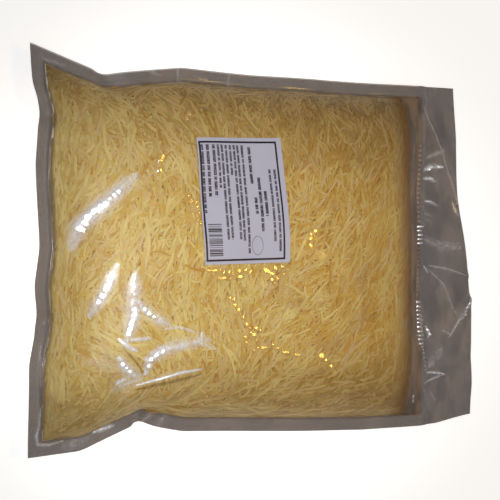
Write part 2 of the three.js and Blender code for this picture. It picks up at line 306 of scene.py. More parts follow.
def plan(a, b):
    half_x, half_y = POUCH_LENGTH / 2, POUCH_WIDTH / 2
    level = along([-half_y, SIDE_SEAL - half_y, half_y - SIDE_SEAL, half_y], b)
    end = -half_x + rounded(INSET["end"], level)
    seal = PACKER_SEAL["x"] + PACKER_SEAL["bow"] * (level / half_y) ** 2
    free_edge = half_x - rounded(INSET["flap"], level)
    x = along([end, end + END_SEAL, seal, seal + PACKER_SEAL["width"], free_edge], a)
    near = -half_y + rounded(INSET["near"], x)
    far = half_y - rounded(INSET["far"], x)
    return x, along([near, near + SIDE_SEAL, far - SIDE_SEAL, far], b)


def fullness(a, b, lengthways, across):
    """1 in the middle of the filled part, 0 at its edges and beyond."""
    u, v = (np.minimum(np.abs(2 * value - 1), 1) for value in (a, b))
    return (1 - u ** lengthways[0]) ** lengthways[1] * (1 - v ** across[0]) ** across[1]


def dome(a, b):
    endward, flapward = (fullness(a, b, DOME[way], DOME["across"]) for way in ("endward", "flapward"))
    return DOME["rise"] * np.where(a < 0.5, endward, flapward) * (1 - DOME["slump"] * (2 * b - 1))


def fold_height(x, y):
    height = 0
    for start, end, rise, spread in FOLDS:
        dx, dy = end[0] - start[0], end[1] - start[1]
        length = math.hypot(dx, dy)
        forth = ((x - start[0]) * dx + (y - start[1]) * dy) / length
        aside = ((x - start[0]) * dy - (y - start[1]) * dx) / length
        strength = ease((forth + spread) / spread) * (1 - ease(forth / length))
        height = height + rise * strength * np.exp(-((aside / spread) ** 2))
    return height


def seam_height(a, x, y):
    turn_x, turn_y = 2 * np.pi * x / RIPPLE["length_x"], 2 * np.pi * y / RIPPLE["length_y"]
    ripple = RIPPLE["height"] * (np.sin(turn_x + 0.5) + np.sin(turn_y + 1.3))
    return SEAM_HEIGHT + ripple - FLAP_DROOP * ease((a - 1) / 2)


def sheet(side, a, b):
    """A place on the front or the back film, without its finer creases."""
    a, b = np.asarray(a, float), np.asarray(b, float)
    x, y = plan(a, b)
    height = seam_height(a, x, y) + side * FILM_PAIR / 2
    if side > 0:
        lumps = np.sin(2 * np.pi * x / LUMPS["length_x"]) * np.cos(2 * np.pi * y / LUMPS["length_y"] + 0.8)
        lumps = LUMPS["height"] * lumps * np.minimum(1, dome(a, b) / DOME["rise"])
        height = height + dome(a, b) + lumps + fold_height(x, y)
    else:
        base = np.minimum(1, BASE["flatness"] * fullness(a, b, (BASE["power"], 1), (BASE["power"], 1)))
        height = (height + fold_height(x, y) * (1 - base) ** BASE["fold_fade"]) * (1 - base)
    return np.stack(np.broadcast_arrays(x, y, height), -1)


def dot(one, other):
    return (one * other).sum(-1)


def unit(vector):
    return vector / np.linalg.norm(vector, axis=-1, keepdims=True)


def ways_along(side, a, b):
    """The two ways along a film, and its outward normal."""
    step = 1e-3
    along_a = (sheet(side, a + step, b) - sheet(side, a - step, b)) / (2 * step)
    along_b = (sheet(side, a, b + step) - sheet(side, a, b - step)) / (2 * step)
    return along_a, along_b, side * unit(np.cross(along_a, along_b))


def direction(along_a, normal, heading):
    """The way over a film that is turned by heading from the way that a grows."""
    forth = unit(along_a)
    left = np.cross(normal, forth)
    return forth * np.cos(heading)[..., None] + left * np.sin(heading)[..., None]


def stride(side, a, b, heading, distance):
    """(a, b) after one straight step over a film."""
    along_a, along_b, normal = ways_along(side, a, b)
    move = direction(along_a, normal, heading) * distance[..., None]
    aa, ab, bb = dot(along_a, along_a), dot(along_a, along_b), dot(along_b, along_b)
    ma, mb = dot(along_a, move), dot(along_b, move)
    area = aa * bb - ab * ab
    return a + (ma * bb - mb * ab) / area, b + (mb * aa - ma * ab) / area


# ---- Making meshes ----


def piece_from(mesh, name, finish):
    piece = bpy.data.objects.new(name, mesh)
    bpy.context.scene.collection.objects.link(piece)
    mesh.materials.append(finish)
    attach(piece, "root")
    return piece


def lifted(shape, name, finish, place):
    """A closed thin piece from flat faces, which are given a thickness and moved into place.

    place turns arrays of X, Y and level, 0 below and 1 above, into millimetres. The UV map
    "sheet" holds X and Y.
    """
    raised = bmesh.ops.extrude_face_region(shape, geom=shape.faces[:])["geom"]
    above = [element for element in raised if isinstance(element, bmesh.types.BMVert)]
    bmesh.ops.translate(shape, vec=(0, 0, 1), verts=above)
    bmesh.ops.recalc_face_normals(shape, faces=shape.faces[:])
    for edge in shape.edges:
        edge.smooth = edge.calc_face_angle(0) < 1
    for face in shape.faces:
        face.smooth = True
    mesh = bpy.data.meshes.new(name)
    shape.to_mesh(mesh)
    shape.free()
    flat = np.empty(3 * len(mesh.vertices), np.float32)
    mesh.vertices.foreach_get("co", flat)
    flat = flat.reshape(-1, 3).astype(float)
    placed = place(flat[:, 0], flat[:, 1], flat[:, 2])
    mesh.vertices.foreach_set("co", (placed * MM).astype(np.float32).ravel())
    corners = np.empty(len(mesh.loops), np.int32)
    mesh.loops.foreach_get("vertex_index", corners)
    uv = mesh.uv_layers.new(name="sheet")
    uv.data.foreach_set("uv", flat[corners, :2].astype(np.float32).ravel())
    mesh.update()
    return piece_from(mesh, name, finish)


def slab(name, finish, columns, rows, place):
    """A closed thin piece with a grid of column and row values."""
    shape = bmesh.new()
    steps = np.array((len(columns) - 1, len(rows) - 1))
    bmesh.ops.create_grid(shape, x_segments=int(steps[0]), y_segments=int(steps[1]), size=1)
    for vertex in shape.verts:
        i, j = round((vertex.co.x + 1) / 2 * steps[0]), round((vertex.co.y + 1) / 2 * steps[1])
        vertex.co.xy = columns[i], rows[j]
    return lifted(shape, name, finish, place)


def mark_points(piece, name, values):
    """Give a piece's points a number each, for its finish to read."""
    attribute = piece.data.attributes.new(name, "FLOAT", "POINT")
    attribute.data.foreach_set("value", np.asarray(values, np.float32))


# ---- Finishes ----


class Wire:
    """A shader socket that can be reckoned with like a number."""

    def __init__(self, finish, socket):
        self.finish = finish
        self.socket = socket

    def math(self, operation, *values):
        return self.finish.node("Math", {"operation": operation}, dict(enumerate(values)))

    def __add__(self, other):
        return self.math("ADD", self, other)

    def __sub__(self, other):
        return self.math("SUBTRACT", self, other)

    def __rsub__(self, other):
        return self.math("SUBTRACT", other, self)

    def __mul__(self, other):
        return self.math("MULTIPLY", self, other)

    __radd__ = __add__
    __rmul__ = __mul__

    def most(self, other):
        return self.math("MAXIMUM", self, other)

    def ramp(self, low, high):
        """0 up to low, 1 from high on, and smooth between them. low may be the larger."""
        sockets = {"Value": self, "From Min": low, "From Max": high}
        return self.finish.node("MapRange", {"interpolation_type": "SMOOTHSTEP"}, sockets)

    def band(self, rise, fall):
        """0, up to 1 over the stretch rise, and back to 0 over the stretch fall."""
        return self.ramp(*rise) * (1 - self.ramp(*fall))


class Finish:
    """A material in the making."""

    def __init__(self, name):
        self.material = bpy.data.materials.new(name)
        self.material.use_nodes = True
        self.tree = self.material.node_tree
        self.tree.nodes.clear()

    def node(self, kind, settings=None, inputs=None, output=0):
        node = self.tree.nodes.new("ShaderNode" + kind)
        for name, value in (settings or {}).items():
            setattr(node, name, value)
        for key, value in (inputs or {}).items():
            if isinstance(value, Wire):
                self.tree.links.new(value.socket, node.inputs[key])
            else:
                node.inputs[key].default_value = value
        return Wire(self, node.outputs[output])

    def place(self):
        """Object coordinates, in metres."""
        return self.node("TexCoord", output="Object")

    def parts(self, vector):
        """The X, Y and Z of a vector."""
        separate = self.node("SeparateXYZ", inputs={0: vector}).socket.node
        return [Wire(self, output) for output in separate.outputs]

    def on_sheet(self):
        """The two grid values of a piece from slab, such as a and b on a film."""
        return self.parts(self.node("UVMap", {"uv_map": "sheet"}))[:2]

    def marked(self, name):
        """A number that the piece's points carry."""
        return self.node("Attribute", {"attribute_name": name}, output="Fac")

    def stretched(self, scale):
        return self.node("Mapping", inputs={"Vector": self.place(), "Scale": scale})

    def noise(self, size, vector=None, detail=2.0, roughness=0.5):
        """Cloudy values about 0.5, with clouds of about size metres."""
        inputs = {"Scale": 1 / size, "Detail": detail, "Roughness": roughness}
        return self.node("TexNoise", inputs={"Vector": vector or self.place(), **inputs})

    def clouds(self, size, low, high, detail=2.0):
        """Patches of about size metres, as noise that is 0 up to low and 1 from high on."""
        return self.noise(size, detail=detail).ramp(low, high)

    def mix(self, share, one, other):
        """The colour that is one at share 0 and other at share 1."""
        one, other = ((*c, 1) if isinstance(c, tuple) else c for c in (one, other))
        inputs = {"Factor": share, 6: one, 7: other}
        return self.node("Mix", {"data_type": "RGBA"}, inputs, output=2)

    def bump(self, height, distance, strength=1.0):
        return self.node("Bump", inputs={"Height": height, "Distance": distance, "Strength": strength})

    def layers(self, colour, *coats):
        """A colour under coats of (share, colour)."""
        for share, coat in coats:
            colour = self.mix(share, colour, coat)
        return colour

    def solid(self, colour, roughness, others):
        """An opaque surface, with its other sockets by their names."""
        inputs = {"Base Color": colour, "Roughness": roughness, **others}
        return self.node("BsdfPrincipled", inputs=inputs)

    def blend(self, share, one, other):
        return self.node("MixShader", inputs={0: share, 1: one, 2: other})

    def show(self, shader):
        output = self.tree.nodes.new("ShaderNodeOutputMaterial")
        self.tree.links.new(shader.socket, output.inputs["Surface"])
        return self.material


# The colours of the finishes on a screen, from 0 to 255.
TINTS = {
    "dark smoke": (88, 68, 58), "pale smoke": (156, 138, 126), "cool veil": (100, 98, 106),
    "off the flap": (130, 116, 106), "dark shade beside cheese": (102, 78, 56), "pale shade beside cheese": (160, 126, 86),
    "seam": (116, 98, 76), "rim": (74, 66, 62), "fold shade": (52, 42, 40), "crease highlight": (246, 248, 253),
    "film": (214, 190, 124), "fold shade over cheese": (110, 74, 32), "shade at the heap's end": (144, 98, 26),
    "warm glint": (250, 198, 78), "crease highlight over cheese": (252, 252, 254),
    "light shred": (229, 209, 136), "light shred's gold": (202, 156, 56),
    "golden shred": (220, 188, 94), "golden shred's gold": (192, 136, 38),
    "pink shred": (208, 172, 128), "pink patch": (184, 146, 98), "shade in gaps": (176, 114, 28),
    "lighter side shade": (162, 126, 62), "darker side shade": (92, 58, 14), "far side shade": (84, 56, 14),
    "dark core": (158, 102, 24), "light core": (196, 140, 42),
    "dark crumb": (140, 106, 46), "light crumb": (204, 174, 98),
    "dark paper": (180, 180, 196), "light paper": (189, 189, 206),
    "dark ink": (22, 20, 36), "grey ink": (50, 48, 64), "pale ink": (118, 116, 132),
    "table": (250, 250, 250), "pale table": (254, 254, 254),
}


def tint(name):
    """The linear colour for a shader."""
    parts = (value / 255 for value in TINTS[name])
    return tuple(p / 12.92 if p <= 0.04045 else ((p + 0.055) / 1.055) ** 2.4 for p in parts)


def film_finish():
    """Clear film, which is smoky where nothing fills it, with painted highlights along its creases and
    crimps, painted shade in its folds, beside the heap and over its end towards the flap, and a painted warm
    glow at its facets.
    """
    finish = Finish("clear_film")
    a, b = finish.on_sheet()
    margin = (1 - a.ramp(-0.003, 0.006)).most(1 - b.ramp(-0.003, 0.004)).most(b.ramp(0.996, 1.003))
    empty = margin.most(a.ramp(0.925, 0.955))
    # The strip around the end of the heap, up to the packer's seal, takes painted shade, mixed with some of
    # the cheese's colour seen through the film.
    shade_beside_cheese = a.band((0.9, 0.94), (1, 1.5)) * b.band((-0.2, 0.05), (0.95, 1.2))
    # The inner edges of the maker's seals take a painted shade line along the cheese.
    inner = a.band((-0.3, 0), (0.9, 1)) * b.band((-0.3, 0), (1, 1.3))
    rim = a.ramp(2.92, 2.98).most(1 - a.ramp(-0.98, -0.88))
    rim = rim.most(1 - b.ramp(-0.98, -0.88)).most(b.ramp(1.88, 1.98))
    # The film over the last stretch of the heap towards the flap takes painted shade.
    heap_end_shade = a.ramp(0.86, 0.93)
    end_wall = a.band((0.88, 0.925), (0.995, 1.01))

    # The mark "pale" carries painted highlights along creases and crimp bars, and below 0 painted shade in
    # folds.
    mark, shine = finish.marked("pale"), finish.marked("shine")
    dark = (-1 * mark).most(0)
    speckle = finish.noise(0.0011, detail=3, roughness=0.7)
    pale = finish.node("Clamp", inputs={0: mark * (0.6 + 0.75 * speckle.ramp(0.34, 0.66))})
    glint = shine.ramp(0.5, 1)

    cloud = finish.noise(0.02, finish.stretched((1, 0.5, 1)), detail=5, roughness=0.65)
    smoke = finish.layers(
        tint("dark smoke"),
        (cloud.ramp(0.38, 0.62), tint("pale smoke")),
        (finish.clouds(0.09, 0.4, 0.7, detail=1) * 0.35, tint("cool veil")),
        ((1 - a.ramp(1.2, 1.6)) * 0.5, tint("off the flap")),
        (shade_beside_cheese * 0.8, finish.mix(cloud.ramp(0.4, 0.6), tint("dark shade beside cheese"), tint("pale shade beside cheese"))),
        (inner * 0.4, tint("seam")),
        (rim * 0.3, tint("rim")),
        # painted shade in folds, then painted highlights along creases and crimp bars
        (dark, tint("fold shade")),
        (pale, tint("crease highlight")),
    )
    over_cheese = finish.layers(
        tint("film"),
        (dark.ramp(0, 0.3), tint("fold shade over cheese")),
        (heap_end_shade, tint("shade at the heap's end")),
        # a painted warm glow at the facets
        (glint * 0.8, tint("warm glint")),
        (pale.ramp(0, 0.2), tint("crease highlight over cheese")),
    )
    wrinkles = finish.noise(0.0022, detail=2, roughness=0.6) + speckle * mark.ramp(0.1, 0.6) * 1.2
    gloss = {
        "Metallic": pale * 0.45,
        "Coat Weight": shine * (1 - 0.4 * empty) * (1 - end_wall) * (1 - 0.6 * pale),
        "Coat Roughness": 0.16,
        "Coat IOR": 3.0,
        "Normal": finish.bump(wrinkles, 0.0002, 0.08),
    }
    facing = finish.node("LayerWeight", inputs={"Blend": 0.15}, output="Facing") * (1 - shade_beside_cheese)
    clear = 0.02 + 0.04 * cloud + 0.08 * facing + 0.05 * shine + 0.24 * glint + 0.26 * heap_end_shade
    smoky = 0.36 + 0.24 * cloud + 0.2 * facing + 0.34 * shade_beside_cheese.most(inner * 0.36)
    cover = lerp(clear, smoky, empty).most(pale * 0.95).most(dark * 0.92)
    skin = finish.solid(finish.mix(empty, over_cheese, smoke), 0.45, gloss)
    return finish.show(finish.blend(cover, finish.node("BsdfTransparent"), skin))


def cheese_finish(name, light, golden):
    """Shreds, from light to golden by their own tone, with painted shade: more golden to the flap and to +Y,
    darker along the heap's edges and at the pouch's end, and darker below on the deeper shreds.
    """
    finish = Finish(name)
    x, y, _ = finish.parts(finish.place())
    tone, depth = finish.marked("tone"), finish.marked("depth")
    clump = finish.noise(0.018, detail=2) - 0.5
    share = tone * 0.6 + (finish.noise(0.004, detail=3) - 0.5) * 0.3 + clump * 0.7
    share = share + (finish.noise(0.07, detail=1) - 0.5) * 0.4
    # Painted shade: the shreds turn more golden towards the flap and towards +Y, where less of the flash's
    # light falls.
    share = share + x.ramp(-0.12, 0.17) * 0.4 + y.ramp(-0.05, 0.15) * 0.1 + 0.02
    # Painted shade along the heap's edges at +Y and -Y and towards the pouch's end.
    far_side_shade = y.ramp(0.03, 0.145) * (0.75 + 0.25 * x.ramp(-0.16, -0.06)) + y.ramp(0.105, 0.14) * 0.2
    sides = far_side_shade.most(y.ramp(-0.06, -0.13) * 0.85).most(x.ramp(-0.14, -0.19) * 0.35)
    colour = finish.layers(
        light,
        (share.ramp(0, 1), golden),
        (tone.ramp(0.13, 0.03) * 0.6, tint("pink shred")),
        (finish.clouds(0.03, 0.54, 0.68, detail=1) * x.ramp(-0.1, 0.05) * 0.4, tint("pink patch")),
        # Painted shade on the heap's edges, then a darker band at the +Y edge.
        (sides * 0.75, finish.mix((tone + clump).ramp(0.1, 0.8), tint("lighter side shade"), tint("darker side shade"))),
        (y.ramp(0.1, 0.14) * 0.3, tint("far side shade")),
        # Painted shade: deeper shreds are darker.
        (depth.ramp(0.1, 0.9) * 0.55, tint("shade in gaps")),
    )
    waxy = {
        "Specular IOR Level": 0.35,
        "Subsurface Weight": 0.2,
        "Subsurface Radius": (1, 0.7, 0.3),
        "Subsurface Scale": 0.0015,
        "Normal": finish.bump(finish.noise(0.0007, detail=2), 0.0002, 0.4),
    }
    return finish.show(finish.solid(colour, 0.5, waxy))


def core_finish():
    """The heap's inside, and the fine crumbs that it is by the seams."""
    finish = Finish("packed_cheese")
    a, b = finish.on_sheet()
    grain = finish.noise(0.0035, detail=3)
    by_seam = (1 - a.ramp(0.01, 0.06)).most(1 - b.ramp(0.01, 0.05)).most(b.ramp(0.95, 0.99))
    # The inside is coloured darker and more orange than the shreds, as painted shade between them.
    colour = finish.layers(
        tint("dark core"),
        (grain.ramp(0.3, 0.7), tint("light core")),
        (by_seam * 0.85, finish.mix(grain.ramp(0.35, 0.6), tint("dark crumb"), tint("light crumb"))),
    )
    return finish.show(finish.solid(colour, 0.6, {"Normal": finish.bump(grain, 0.002, 0.8)}))


def label_finish():
    finish = Finish("label_paper")
    paper = finish.mix(finish.noise(0.02), tint("dark paper"), tint("light paper"))
    fibres = finish.bump(finish.noise(0.0006, detail=2), 0.00005, 0.3)
    return finish.show(finish.solid(paper, 0.45, {"Specular IOR Level": 0.4, "Normal": fibres}))


def ink_finish(name, ink, bare):
    """Ink that lets specks of a paper colour through."""
    finish = Finish(name)
    colour = finish.mix(finish.clouds(0.0011, 0.42, 0.6, detail=1), tint(ink), tint(bare))
    return finish.show(finish.solid(colour, 0.4, {}))


def table_finish():
    finish = Finish("pale_table")
    colour = finish.mix(finish.noise(0.5), tint("table"), tint("pale table"))
    glow = {"Emission Color": (1, 1, 1, 1), "Emission Strength": 0.6}
    return finish.show(finish.solid(colour, 0.7, glow))


# ---- The films ----

CLEARANCE = 0.35
FILM = 0.15
FILLED_PART = {"length": 324, "width": 280}
SEAM_BEAD = {"at": -0.3, "height": 0.35, "spread": 0.8}
CRIMP_HEIGHT = 0.5
FLAP_CURL = {"height": 1.4, "length": 52}
PUCKERS = {"height": 0.5, "reach": 16, "spacing": 6, "stretch": 4, "deepest": 0.1}
CREASE_ENDS = 0.35
MOST_RAGGED = 0.65

# Facets vary in size, slope and place. Each is flat in its middle and dies out around it.
FACET = {"size": (0.85, 1.2), "error": 0.015, "flat": 0.75, "end": 1.25}
FACET_JITTER = {"flash": 0.12, "room": 0.4}

# How much a crease and plain film shine, where a facet has 1.
CREASE_SHINE = 0.4
FILM_SHINE = 0.35

# Waves of the film: (height, length, shift in X, shift in Y).
RAGGED = [(1, 2.2, 70, 0), (0.7, 4.5, 0, 90)]
LOOSE_FILM = [(0.05, 6, 9, 0), (0.1, 14, 0, 0), (0.14, 37, 0, 30)]
OVER_SHREDS = [(0.07, 4.5, 0, 0), (0.14, 9, 50, 0)]
crinkles = Hills(3)


def waves(x, y, rows):
    return sum(height * crinkles(x + dx, y + dy, length) for height, length, dx, dy in rows)


def place_on_film(x, y):
    """(a, b) of the film's point over a place on the plan, found by Newton's steps."""
    a, b, step = 0.5, 0.5, 1e-4
    for _ in range(12):
        here = np.array(plan(a, b))
        along_a, along_b = ((np.array(plan(*near)) - here) / step for near in ((a + step, b), (a, b + step)))
        move = np.linalg.solve(np.stack((along_a, along_b), 1), np.array((x, y)) - here)
        a, b = a + move[0], b + move[1]
    return a, b


def stops(path, pitch):
    """Places at about even pitch along a bent line, with its heading there."""
    for (x0, y0), (x1, y1) in zip(path, path[1:]):
        length = math.hypot(x1 - x0, y1 - y0)
        count = max(1, round(length / pitch))
        for n in range(count):
            share = (n + 0.5) / count
            yield lerp(x0, x1, share), lerp(y0, y1, share), math.atan2(y1 - y0, x1 - x0)


def flap_curl(a, x, y):
    """How far the flap waves above the seal's level."""
    return FLAP_CURL["height"] * (crinkles(x, y, FLAP_CURL["length"]) + 1) * between(a, 1.9, 2.6)


def smooth_height(x, y):
    a, b = place_on_film(x, y)
    return float(sheet(1, a, b)[2] + flap_curl(a, np.array(x), np.array(y)))


def facets():
    """Each facet as (x, y, heading, half length, half width, change of slope)."""
    draw = np.random.default_rng(17)
    for lamp, path, pitch, long, wide in FACETS:
        for x, y, heading in stops(path, pitch):
            size = draw.uniform(*FACET["size"])
            x, y = (x, y) + draw.normal(0, FACET_JITTER[lamp] * wide, 2)
            point = np.array((x, y, smooth_height(x, y)))
            rise_x = smooth_height(x + 1, y) - smooth_height(x - 1, y)
            rise_y = smooth_height(x, y + 1) - smooth_height(x, y - 1)
            halfway = unit(EYE - point) + unit(LAMPS[lamp]["place"] - point)
            slope = -halfway[:2] / halfway[2] - np.array((rise_x, rise_y)) / 2
            slope = slope + draw.normal(0, FACET["error"], 2)
            yield x, y, heading, long * size, wide * size, slope


every_facet = list(facets())


def facet_relief(x, y):
    """How far the facets lift the film, and how much of each place is a facet."""
    height, share = np.zeros((2, *x.shape))
    for cx, cy, heading, long, wide, slope in every_facet:
        near = (np.abs(x - cx) < 2 * long) & (np.abs(y - cy) < 2 * long)
        dx, dy = x[near] - cx, y[near] - cy
        forth = (dx * math.cos(heading) + dy * math.sin(heading)) / long
        aside = (dy * math.cos(heading) - dx * math.sin(heading)) / wide
        window = 1 - between(np.hypot(forth, aside), FACET["flat"], FACET["end"])
        lift = FACET["flat"] * max(long, wide) * np.hypot(*slope)
        rise = (slope[0] * dx + slope[1] * dy + lift) * window
        height[near] = np.where(window > share[near], rise, height[near])
        share[near] = np.maximum(share[near], window)
    return height, share


def creases(x, y):
    """How far the creases lift the film, and how pale it is there: a painted highlight, or painted shade
    where the paleness is below 0.
    """
    height, pale = np.zeros((2, *x.shape))
    ragged = between(waves(x, y, RAGGED), -0.75, 0.35)
    for path, rise, spread, paleness in CREASES:
        total = sum(math.dist(*ends) for ends in zip(path, path[1:]))
        distance, share, gone = np.full(x.shape, np.inf), np.zeros(x.shape), 0
        for (x0, y0), (x1, y1) in zip(path, path[1:]):
            dx, dy = x1 - x0, y1 - y0
            length = math.hypot(dx, dy)
            part = np.clip(((x - x0) * dx + (y - y0) * dy) / length**2, 0, 1)
            away = np.hypot(x - x0 - part * dx, y - y0 - part * dy)
            share = np.where(away < distance, (gone + part * length) / total, share)
            distance = np.minimum(distance, away)
            gone += length
        slim = lerp(CREASE_ENDS, 1, 1 - np.abs(2 * share - 1) ** 3)
        ridge = np.exp(-((distance / spread / slim) ** 2))
        height = np.maximum(height, rise * ridge * slim)
        broken = lerp(1, ragged, min(MOST_RAGGED, spread / 4)) if rise else 1
        line = paleness * ridge * broken
        pale = np.where(np.abs(line) > np.abs(pale), line, pale)
    return height, pale


def crimp(x, y):
    """The bars in the packer's seal, from 0 to 1."""
    height = np.zeros(x.shape)
    for path, pitch, long, wide, strength in CRIMPS:
        for cx, cy, _ in stops(path, pitch):
            near = (np.abs(x - cx) < 2 * long) & (np.abs(y - cy) < 2 * wide)
            forth, aside = (x[near] - cx) / long, (y[near] - cy) / wide
            uneven = strength * lerp(0.75, 1, crinkles(np.array(cx), np.array(cy), 3))
            height[near] = np.maximum(height[near], uneven * np.exp(-(forth**4) - aside**4))
    return height


def quiet(x, y):
    """1 where the film hardly shines, 0 well away from there."""
    zones = (np.exp(-(((x - cx) ** 2 + (y - cy) ** 2) / radius**2) ** 2) for cx, cy, radius in QUIET)
    return np.minimum(1, sum(zones))


def seam_bead(a, b):
    """A thin bead along the maker's seals, from 0 to 1."""
    to_end = (a - SEAM_BEAD["at"]) * END_SEAL
    to_side = (np.minimum(b, 1 - b) - SEAM_BEAD["at"]) * SIDE_SEAL
    outside = np.hypot(np.minimum(to_end, 0), np.minimum(to_side, 0))
    distance = outside + np.maximum(0, np.minimum(to_end, to_side))
    return np.exp(-((distance / SEAM_BEAD["spread"]) ** 2)) * (a < 1)


def in_label(x, y):
    """1 under the label and 0 away from it, by place on the plan."""
    middle = sheet(1, *LABEL["at"])
    turn = math.radians(LABEL["turn"])
    dx, dy = x - middle[0], y - middle[1]
    u = np.abs(dx * math.cos(turn) + dy * math.sin(turn)) - LABEL["width"] / 2
    v = np.abs(dy * math.cos(turn) - dx * math.sin(turn)) - LABEL["height"] / 2
    return (1 - between(u, 0, 1.2)) * (1 - between(v, 0, 1.2))


def film_relief(side, a, b, x, y, facet_height, facet_share):
    """How far the film's outer face stands off the plain sheet."""
    inside = within(a, (-0.02, 0.02), (0.97, 1.02)) * within(b, (-0.02, 0.02), (0.98, 1.02))
    beyond = waves(x, y, LOOSE_FILM) - 0.1
    if side < 0:
        return lerp(beyond - 0.1, -FILM, inside)
    to_end, to_side = a * FILLED_PART["length"], np.minimum(b, 1 - b) * FILLED_PART["width"]
    near_end, near_side = (np.exp(-np.abs(distance) / PUCKERS["reach"]) for distance in (to_end, to_side))
    spacing, stretch = PUCKERS["spacing"], PUCKERS["stretch"]
    puckers = near_end * crinkles(x / stretch, y, spacing)
    puckers = puckers + near_side * crinkles(x, y / stretch + 40, spacing)
    puckers = np.maximum(PUCKERS["height"] * puckers, -PUCKERS["deepest"])
    over = CLEARANCE + (waves(x, y, OVER_SHREDS) + puckers) * (1 - facet_share)
    over = np.maximum(over + facet_height, 0.05) * (1 - 0.9 * in_label(x, y))
    beyond = (beyond + SEAM_BEAD["height"] * seam_bead(a, b)) * (1 - facet_share) + facet_height
    return lerp(beyond, over, inside)


def film(name, side, columns, rows, finish):
    """A piece of film between grid lines of a and of b."""
    marks = {}

    def place(a, b, level):
        point = sheet(side, a, b)
        x, y = point[..., 0].copy(), point[..., 1].copy()
        facet_height, facet_share = facet_relief(x, y)
        rise, pale = creases(x, y)
        bars = crimp(x, y)
        depth = FILM * ((1 - level) if side > 0 else level)
        stand = film_relief(side, a, b, x, y, facet_height, facet_share) - depth
        point = point + ways_along(side, a, b)[2] * stand[..., None]
        filled = within(a, (-0.1, 0.02), (1, 1.1)) * within(b, (-0.1, 0), (1, 1.1))
        marked = 1 if side > 0 else 1 - filled
        lift = (rise * marked + CRIMP_HEIGHT * bars) * (1 - facet_share) + flap_curl(a, x, y)
        point[..., 2] = np.maximum(point[..., 2] + lift, depth if side < 0 else 0)
        # The mark "pale" holds painted highlights along creases and crimp bars, and painted shade in folds
        # below 0.
        marks["pale"] = np.where(bars > np.abs(pale), bars, pale) * marked
        crumpled = np.maximum(facet_share, CREASE_SHINE * np.abs(pale)) * marked
        marks["shine"] = np.maximum(crumpled, FILM_SHINE * (1 - quiet(x, y)))
        return point

    piece = slab(name, finish, columns, rows, place)
    for mark, values in marks.items():
        mark_points(piece, mark, values)
    return piece


def lines(*stretches):
    """Grid lines: each stretch is (start, end, number of steps), and they follow on."""
    places = [np.linspace(start, end, count, endpoint=False) for start, end, count in stretches]
    return np.append(np.concatenate(places), stretches[-1][1])


def crowded(count, start=0.0, end=1.0):
    """Lines from start to end that are those of the filled part, which crowd towards its edges."""
    turn = np.linspace(0, 1, count)
    places = lerp(turn, (1 - np.cos(np.pi * turn)) / 2, 0.45)
    inner = places[(places > start + 1e-3) & (places < end - 1e-3)]
    return np.concatenate(([start], inner, [end]))


def across_pouch(within_pouch, within_seal):
    """Even lines across the whole pouch, with two side seals."""
    return lines((-1, 0, within_seal), (0, 1, within_pouch), (1, 2, within_seal))


def pouch_films(finish):
    """The front film in strips across the pouch, which lets its grid be fine, and the back one."""
    seal = lines((-1, 0, 12))[:-1]
    across = np.concatenate((seal, crowded(318), 1 - seal[::-1]))
    coarse = np.concatenate((seal[::2], crowded(110), 1 - seal[::-2]))
    cuts = (0, 0.3, 0.65, 1)
    stretches = [crowded(370, *ends) for ends in zip(cuts, cuts[1:])]
    stretches[0] = np.concatenate((seal, stretches[0]))
    return [
        *(film(f"front_film_{n}", 1, columns, across, finish) for n, columns in enumerate(stretches, 1)),
        film("back_film", -1, np.concatenate((seal[::2], crowded(140))), coarse, finish),
        film("seal_front", 1, lines((1, 2, 40)), across_pouch(600, 12), finish),
        film("flap_front", 1, lines((2, 3, 100)), across_pouch(450, 12), finish),
        film("flap_back", -1, lines((1, 2, 20), (2, 3, 46)), across_pouch(240, 6), finish),
    ]


# ---- The cheese ----

# The filled part's share that the cheese reaches, with an uneven end towards the flap.
CHEESE_AREA = {"a": (0.0008, 0.948), "b": (0.001, 0.999)}
UNEVEN_END = 0.014
EDGE_WIDTH = 0.025
CORNER_REACH = 0.08
DEEPEST = 0.35
HEAP = {"depth": 2.9, "unevenness": 1, "lumps": 4, "edge": 0.002, "columns": 175, "rows": 155}
end_unevenness = Hills(31)

# The parts of 1 that each point goes on by, so that the points spread evenly without a pattern.
EVEN_STEPS = (0.7548776662, 0.5698402910)

# The way that most shreds lie from X, in degrees in the middle, at the near side and in the far
# corner. It swings by up to "swing" radians over "length" millimetres, and along the side seams
# it is "seam" radians.
GRAIN = {"middle": 84, "near": 14, "corner": 118, "seam": 0.1, "swing": 1.0, "length": 75}

# A shred's usual bend and curl in degrees, tilt in millimetres, roll in radians, and its shape.
SHRED = {"bend": 20, "curl": 12, "tilt": 0.9, "roll": 0.25, "end": 0.6, "unevenness": 0.12}


def cheese_end(b):
    return CHEESE_AREA["a"][1] + UNEVEN_END * end_unevenness(b * FILLED_PART["width"], 0 * b, 14)


def thickness(a, b):
    return sheet(1, a, b)[..., 2] - sheet(-1, a, b)[..., 2]


def inside_cheese(side, a, b, depth):
    """The place at a depth under a film, no deeper than the pouch allows there."""
    normal = ways_along(side, a, b)[2]
    depth = np.minimum(depth, DEEPEST * thickness(a, b))
    return sheet(side, a, b) - normal * depth[..., None]


def spread_evenly(count, seed):
    """count places (a, b) over the cheese, evenly and without a pattern, but closer at its edges."""
    n = np.arange(count)[:, None] + seed
    share = (n * np.array(EVEN_STEPS) + 0.5) % 1
    share = lerp(share, (1 - np.cos(np.pi * share)) / 2, 0.5)
    return lerp(*CHEESE_AREA["a"], share[:, 0]), lerp(*CHEESE_AREA["b"], share[:, 1])


